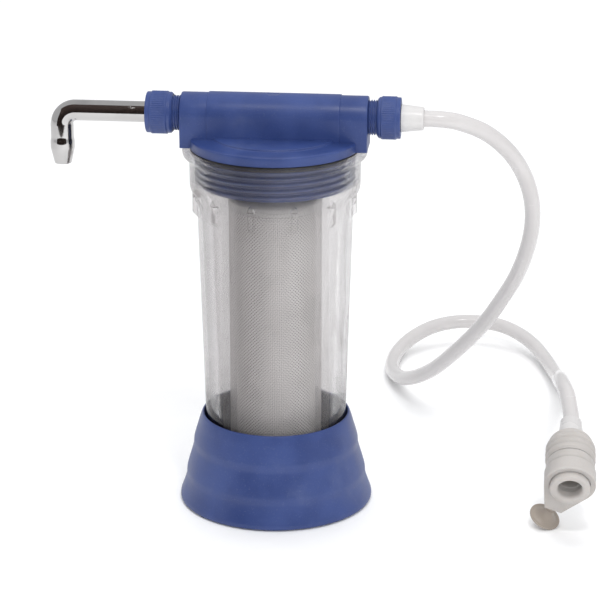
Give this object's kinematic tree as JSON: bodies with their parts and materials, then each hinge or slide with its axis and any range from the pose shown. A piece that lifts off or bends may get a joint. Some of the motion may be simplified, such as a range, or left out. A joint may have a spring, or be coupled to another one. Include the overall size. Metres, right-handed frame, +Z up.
{
  "type": "bench-top water filter",
  "caption": "Bench-top carbon cartridge water filter: clear bowl in a stand, screw-on head, swivel spout, and a hose to a clamp-on tap connector.",
  "frame": {"origin": "centre of the stand's underside, on the bowl's axis", "axes": "+Z up along the bowl's axis, -X along the outlet spout's run, +X towards the inlet hose, -Y the front"},
  "size_m": [0.4177, 0.4525, 0.3221],
  "materials": {
    "blue_plastic": "moulded, satin sheen",
    "clear_plastic": "clear, polished",
    "white_plastic": "moulded, satin",
    "hose_vinyl": "smooth flexible vinyl",
    "pale_rubber": "matt",
    "black_rubber": "matt",
    "net_plastic": "fine diamond net",
    "carbon": "sintered, dull",
    "chrome": "polished plating",
    "brass": "turned brass",
    "tan_plastic": "moulded, matt"
  },
  "bodies": {
    "base": {"stand": "blue_plastic", "tap_tail": "white_plastic", "tap_boot": "pale_rubber", "tap_clamp": "white_plastic", "clamp_nut": "brass"},
    "bowl": {"bowl": "clear_plastic", "bottom_gasket": "black_rubber", "bottom_cap": "white_plastic", "carbon_block": "carbon", "core_tube": "white_plastic", "net_sleeve": "net_plastic", "top_cap": "white_plastic", "top_gasket": "black_rubber"},
    "head": {"head": "blue_plastic", "bowl_seal": "black_rubber", "outlet_washer": "black_rubber", "inlet_washer": "black_rubber", "hose_tail": "white_plastic", "tap_hose": "hose_vinyl"},
    "outlet_carrier": {"outlet_slip_ring": "white_plastic"},
    "outlet_nut": {"outlet_nut": "blue_plastic"},
    "spout": {"spout": "chrome"},
    "inlet_carrier": {"hose_ferrule": "white_plastic"},
    "inlet_nut": {"inlet_nut": "blue_plastic"},
    "screw_carrier": {"pressure_pad": "white_plastic"},
    "clamp_screw": {"clamp_screw": "tan_plastic"}
  },
  "joints": [
    {"name": "bowl_turn", "type": "hinge", "parent": "base", "child": "bowl", "pos_m": [0, 0, 0.1], "axis": [0, 0, -1], "range_deg": [0, 1440]},
    {"name": "head_rise", "type": "slide", "parent": "base", "child": "head", "axis": [0, 0, 1], "range_m": [0, 0.0196]},
    {"name": "outlet_nut_turn", "type": "hinge", "parent": "outlet_carrier", "child": "outlet_nut", "pos_m": [-0.086, 0, 0.3054], "axis": [-1, 0, 0], "range_deg": [0, 1440]},
    {"name": "outlet_nut_travel", "type": "slide", "parent": "head", "child": "outlet_carrier", "axis": [-1, 0, 0], "range_m": [0, 0.00726]},
    {"name": "spout_swivel", "type": "hinge", "parent": "head", "child": "spout", "pos_m": [-0.092, 0, 0.3054], "axis": [1, 0, 0], "continuous": true},
    {"name": "inlet_nut_turn", "type": "hinge", "parent": "inlet_carrier", "child": "inlet_nut", "pos_m": [0.085, 0, 0.3054], "axis": [1, 0, 0], "range_deg": [0, 1440]},
    {"name": "inlet_nut_travel", "type": "slide", "parent": "head", "child": "inlet_carrier", "axis": [1, 0, 0], "range_m": [0, 0.00726]},
    {"name": "clamp_screw_turn", "type": "hinge", "parent": "screw_carrier", "child": "clamp_screw", "pos_m": [0.2275, -0.05742, 0.04558], "axis": [0.3907, -0.3744, 0.8409], "range_deg": [0, 1260]},
    {"name": "clamp_screw_travel", "type": "slide", "parent": "base", "child": "screw_carrier", "axis": [0.3907, -0.3744, 0.8409], "range_m": [0, 0.0035]}
  ],
  "couplings": [
    {"joint": "head_rise", "follows": "bowl_turn", "m_per_rad": 0.00077986},
    {"joint": "outlet_nut_travel", "follows": "outlet_nut_turn", "m_per_rad": 0.00028871},
    {"joint": "inlet_nut_travel", "follows": "inlet_nut_turn", "m_per_rad": 0.00028871},
    {"joint": "clamp_screw_travel", "follows": "clamp_screw_turn", "m_per_rad": 0.00015915}
  ]
}
